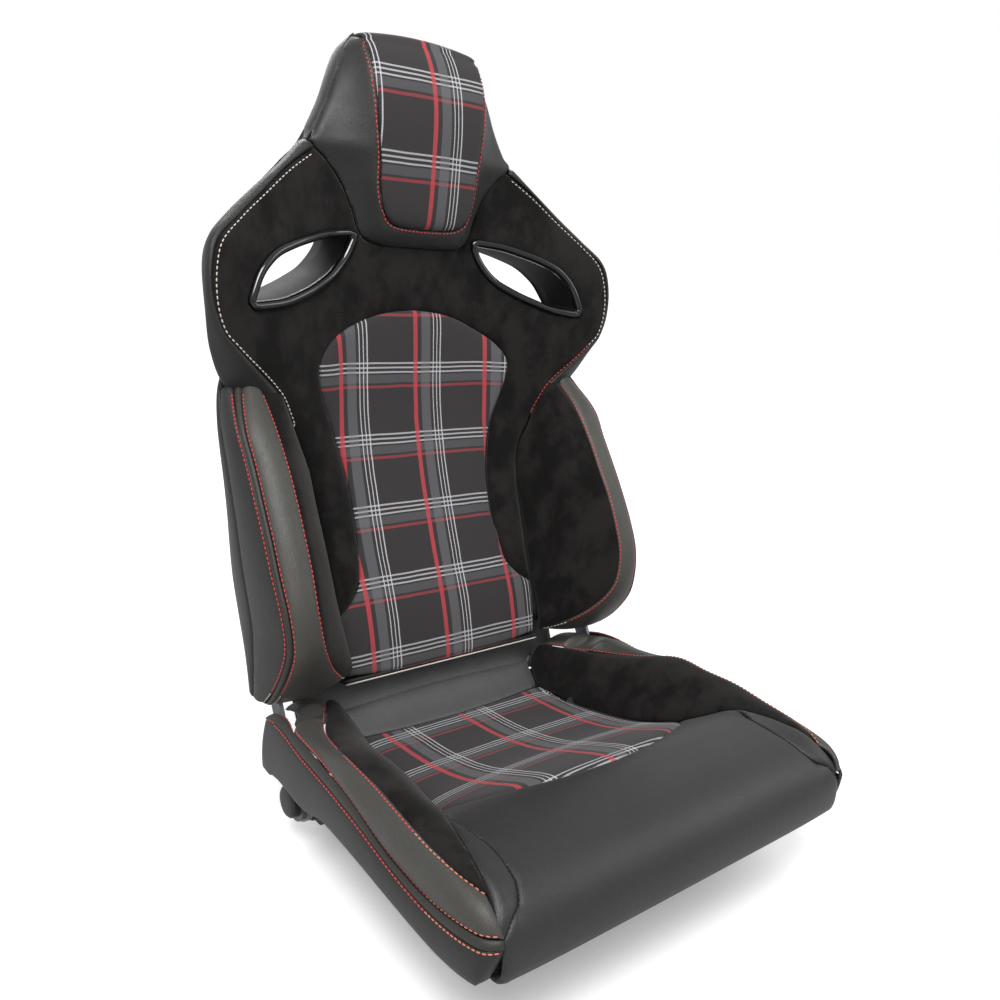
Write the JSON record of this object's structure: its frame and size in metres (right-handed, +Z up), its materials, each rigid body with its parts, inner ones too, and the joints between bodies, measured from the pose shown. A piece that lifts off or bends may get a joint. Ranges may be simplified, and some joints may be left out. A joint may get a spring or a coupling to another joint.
{
  "type": "reclining racing seat",
  "caption": "Reclining bucket-style racing seat with deep side bolsters, shoulder wings, harness slots, integral headrest, slide runners and a hand-wheel recliner.",
  "frame": {"origin": "midway between the four rail feet, on the plane that they stand on, which is also the bottom centre of the bounding box", "axes": "+Z up, -Y the way the occupant faces, +X to the occupant's left"},
  "size_m": [0.58, 0.674, 0.918],
  "materials": {
    "zinc_steel": "zinc-plated",
    "painted_steel": "satin black",
    "arm_steel": "dull grey",
    "nylon": "natural nylon",
    "foam": "moulded polyurethane foam",
    "leather": "satin, fine grain",
    "suede": "black microfibre suede",
    "plaid": "woven plaid in greys, white and red",
    "shell_plastic": "grained",
    "bezel_plastic": "gloss black",
    "knob_plastic": "satin"
  },
  "bodies": {
    "runners": {"lower_rail_left": "zinc_steel", "rail_foot_front_left": "painted_steel", "rail_foot_rear_left": "painted_steel", "lower_rail_right": "zinc_steel", "rail_foot_front_right": "painted_steel", "rail_foot_rear_right": "painted_steel"},
    "cushion": {"upper_rail_left": "painted_steel", "rail_glide_left": "nylon", "rail_bracket_left": "painted_steel", "side_frame_left": "painted_steel", "recliner_housing_left": "zinc_steel", "release_bush_left": "nylon", "cushion_bolster_left": "suede", "cushion_side_left": "leather", "upper_rail_right": "painted_steel", "rail_glide_right": "nylon", "rail_bracket_right": "painted_steel", "side_frame_right": "painted_steel", "recliner_housing_right": "zinc_steel", "release_bush_right": "nylon", "cushion_bolster_right": "suede", "cushion_side_right": "leather", "front_cross_tube": "painted_steel", "rear_cross_tube": "painted_steel", "seat_pan": "painted_steel", "cushion_spring_1": "zinc_steel", "cushion_spring_2": "zinc_steel", "cushion_spring_3": "zinc_steel", "cushion_spring_4": "zinc_steel", "cushion_foam": "foam", "cushion_insert": "plaid", "cushion_rear_strip": "leather", "cushion_front_roll": "leather"},
    "backrest": {"recliner_gear_left": "zinc_steel", "recliner_arm_left": "arm_steel", "arm_bolt_1_left": "zinc_steel", "arm_bolt_2_left": "zinc_steel", "harness_bezel_left": "bezel_plastic", "back_bolster_left": "suede", "recliner_gear_right": "zinc_steel", "recliner_arm_right": "arm_steel", "arm_bolt_1_right": "zinc_steel", "arm_bolt_2_right": "zinc_steel", "harness_bezel_right": "bezel_plastic", "back_bolster_right": "suede", "pivot_cap": "knob_plastic", "back_frame_hoop": "painted_steel", "back_cross_tube": "painted_steel", "lumbar_wire_1": "zinc_steel", "lumbar_wire_2": "zinc_steel", "back_shell": "shell_plastic", "back_foam": "foam", "back_cover": "suede", "back_insert": "plaid", "headrest_insert": "plaid"},
    "handwheel": {"recline_shaft": "zinc_steel", "recline_handwheel": "knob_plastic", "handwheel_cap": "knob_plastic"},
    "release_bar": {"release_bar": "painted_steel"}
  },
  "joints": [
    {"name": "seat_slide", "type": "slide", "parent": "runners", "child": "cushion", "axis": [0, -1, 0], "range_m": [-0.1, 0.1]},
    {"name": "recline", "type": "hinge", "parent": "cushion", "child": "backrest", "pos_m": [0, 0.05, 0.058], "axis": [-1, 0, 0], "range_deg": [-12, 42]},
    {"name": "handwheel_turn", "type": "hinge", "parent": "cushion", "child": "handwheel", "pos_m": [0, 0.05, 0.058], "axis": [-1, 0, 0], "range_deg": [-384, 1344]},
    {"name": "release_lift", "type": "hinge", "parent": "cushion", "child": "release_bar", "pos_m": [0, -0.15, 0.036], "axis": [-1, 0, 0], "range_deg": [0, 8]}
  ],
  "couplings": [
    {"joint": "handwheel_turn", "follows": "recline", "ratio": 32}
  ]
}
